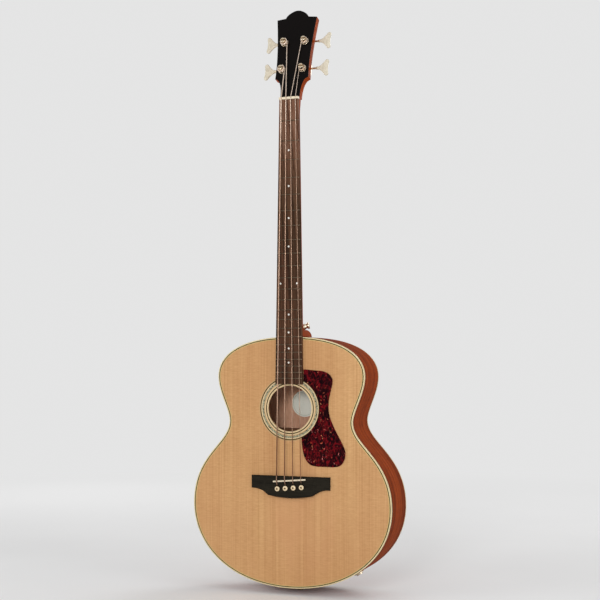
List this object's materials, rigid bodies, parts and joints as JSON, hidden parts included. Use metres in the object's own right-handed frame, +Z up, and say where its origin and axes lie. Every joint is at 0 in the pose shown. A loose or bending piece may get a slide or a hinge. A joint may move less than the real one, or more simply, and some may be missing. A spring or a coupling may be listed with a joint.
{
  "type": "acoustic bass guitar",
  "caption": "Large-bodied acoustic bass guitar with flat spruce top, round soundhole, pinned bridge, tilted headstock and turning worm-gear tuners.",
  "frame": {"origin": "centre of the end pin's flat outer face, on the centre line at the tail", "axes": "+Z up the neck to the headstock, +X to the treble side, +Y from the soundboard to the back"},
  "size_m": [0.435, 0.1459, 1.2189],
  "materials": {
    "spruce_top": "gloss lacquer over vertical-grain spruce",
    "mahogany_body": "gloss red-brown stained mahogany",
    "lining_wood": "bare",
    "brace_spruce": "bare",
    "ivory_binding": "gloss ivory",
    "rosette_inlay": "gloss rings of ivory, black and grey-green mosaic",
    "tortoiseshell_guard": "gloss red tortoiseshell",
    "label_paper": "plain paper",
    "rosewood": "satin oiled",
    "bone": "polished bone",
    "rod_steel": "plain",
    "black_veneer": "high gloss black",
    "black_bridge_wood": "satin black",
    "pin_plastic": "gloss ivory",
    "string_bronze": "wound phosphor bronze",
    "nickel": "polished nickel",
    "key_plastic": "pearly pale cream"
  },
  "bodies": {
    "root": {"soundboard": "spruce_top", "back": "mahogany_body", "side_bass": "mahogany_body", "side_treble": "mahogany_body", "neck": "mahogany_body", "neck_block": "lining_wood", "tail_block": "lining_wood", "lining_front_bass": "lining_wood", "lining_front_treble": "lining_wood", "lining_back_bass": "lining_wood", "lining_back_treble": "lining_wood", "cross_brace_bass": "brace_spruce", "cross_brace_treble": "brace_spruce", "upper_brace": "brace_spruce", "tone_bar_1": "brace_spruce", "tone_bar_2": "brace_spruce", "back_brace_1": "brace_spruce", "back_brace_2": "brace_spruce", "back_brace_3": "brace_spruce", "binding_front": "ivory_binding", "binding_back": "ivory_binding", "rosette": "rosette_inlay", "pickguard": "tortoiseshell_guard", "soundhole_label": "label_paper", "fingerboard": "rosewood", "bridge_plate": "rosewood", "nut": "bone", "saddle": "bone", "truss_rod": "rod_steel", "saddle_pickup": "rod_steel", "head_veneer": "black_veneer", "bridge": "black_bridge_wood", "bridge_pin_e": "pin_plastic", "bridge_pin_a": "pin_plastic", "bridge_pin_d": "pin_plastic", "bridge_pin_g": "pin_plastic", "string_e": "string_bronze", "string_a": "string_bronze", "string_d": "string_bronze", "string_g": "string_bronze", "tuner_bushing_e": "nickel", "tuner_bushing_a": "nickel", "tuner_bushing_d": "nickel", "tuner_bushing_g": "nickel", "tuner_plate_e": "nickel", "tuner_plate_a": "nickel", "tuner_plate_d": "nickel", "tuner_plate_g": "nickel", "heel_strap_button": "nickel", "output_jack": "nickel", "end_pin": "nickel"},
    "tuner_key_e": {"tuner_key_e": "key_plastic"},
    "tuner_post_e": {"tuner_post_e": "nickel"},
    "tuner_key_a": {"tuner_key_a": "key_plastic"},
    "tuner_post_a": {"tuner_post_a": "nickel"},
    "tuner_key_d": {"tuner_key_d": "key_plastic"},
    "tuner_post_d": {"tuner_post_d": "nickel"},
    "tuner_key_g": {"tuner_key_g": "key_plastic"},
    "tuner_post_g": {"tuner_post_g": "nickel"},
    "truss_rod_nut": {"truss_rod_nut": "rod_steel"}
  },
  "joints": [
    {"name": "key_turn_e", "type": "hinge", "parent": "root", "child": "tuner_key_e", "pos_m": [-0.0225, -0.0256, 1.09217], "axis": [-1, 0, 0], "continuous": true},
    {"name": "post_turn_e", "type": "hinge", "parent": "root", "child": "tuner_post_e", "pos_m": [-0.0225, -0.04976, 1.08788], "axis": [0, -0.9703, 0.2419], "continuous": true},
    {"name": "key_turn_a", "type": "hinge", "parent": "root", "child": "tuner_key_a", "pos_m": [-0.0225, -0.01061, 1.15233], "axis": [-1, 0, 0], "continuous": true},
    {"name": "post_turn_a", "type": "hinge", "parent": "root", "child": "tuner_post_a", "pos_m": [-0.0225, -0.03476, 1.14804], "axis": [0, -0.9703, 0.2419], "continuous": true},
    {"name": "key_turn_d", "type": "hinge", "parent": "root", "child": "tuner_key_d", "pos_m": [0.0225, -0.01061, 1.15233], "axis": [1, 0, 0], "continuous": true},
    {"name": "post_turn_d", "type": "hinge", "parent": "root", "child": "tuner_post_d", "pos_m": [0.0225, -0.03476, 1.14804], "axis": [0, -0.9703, 0.2419], "continuous": true},
    {"name": "key_turn_g", "type": "hinge", "parent": "root", "child": "tuner_key_g", "pos_m": [0.0225, -0.0256, 1.09217], "axis": [1, 0, 0], "continuous": true},
    {"name": "post_turn_g", "type": "hinge", "parent": "root", "child": "tuner_post_g", "pos_m": [0.0225, -0.04976, 1.08788], "axis": [0, -0.9703, 0.2419], "continuous": true},
    {"name": "truss_rod_nut_turn", "type": "hinge", "parent": "root", "child": "truss_rod_nut", "pos_m": [0, -0.0544, 0.4802], "axis": [0, 0, 1], "range_deg": [-180, 180]}
  ],
  "couplings": [
    {"joint": "post_turn_e", "follows": "key_turn_e", "ratio": -0.05},
    {"joint": "post_turn_a", "follows": "key_turn_a", "ratio": -0.05},
    {"joint": "post_turn_d", "follows": "key_turn_d", "ratio": 0.05},
    {"joint": "post_turn_g", "follows": "key_turn_g", "ratio": 0.05}
  ]
}
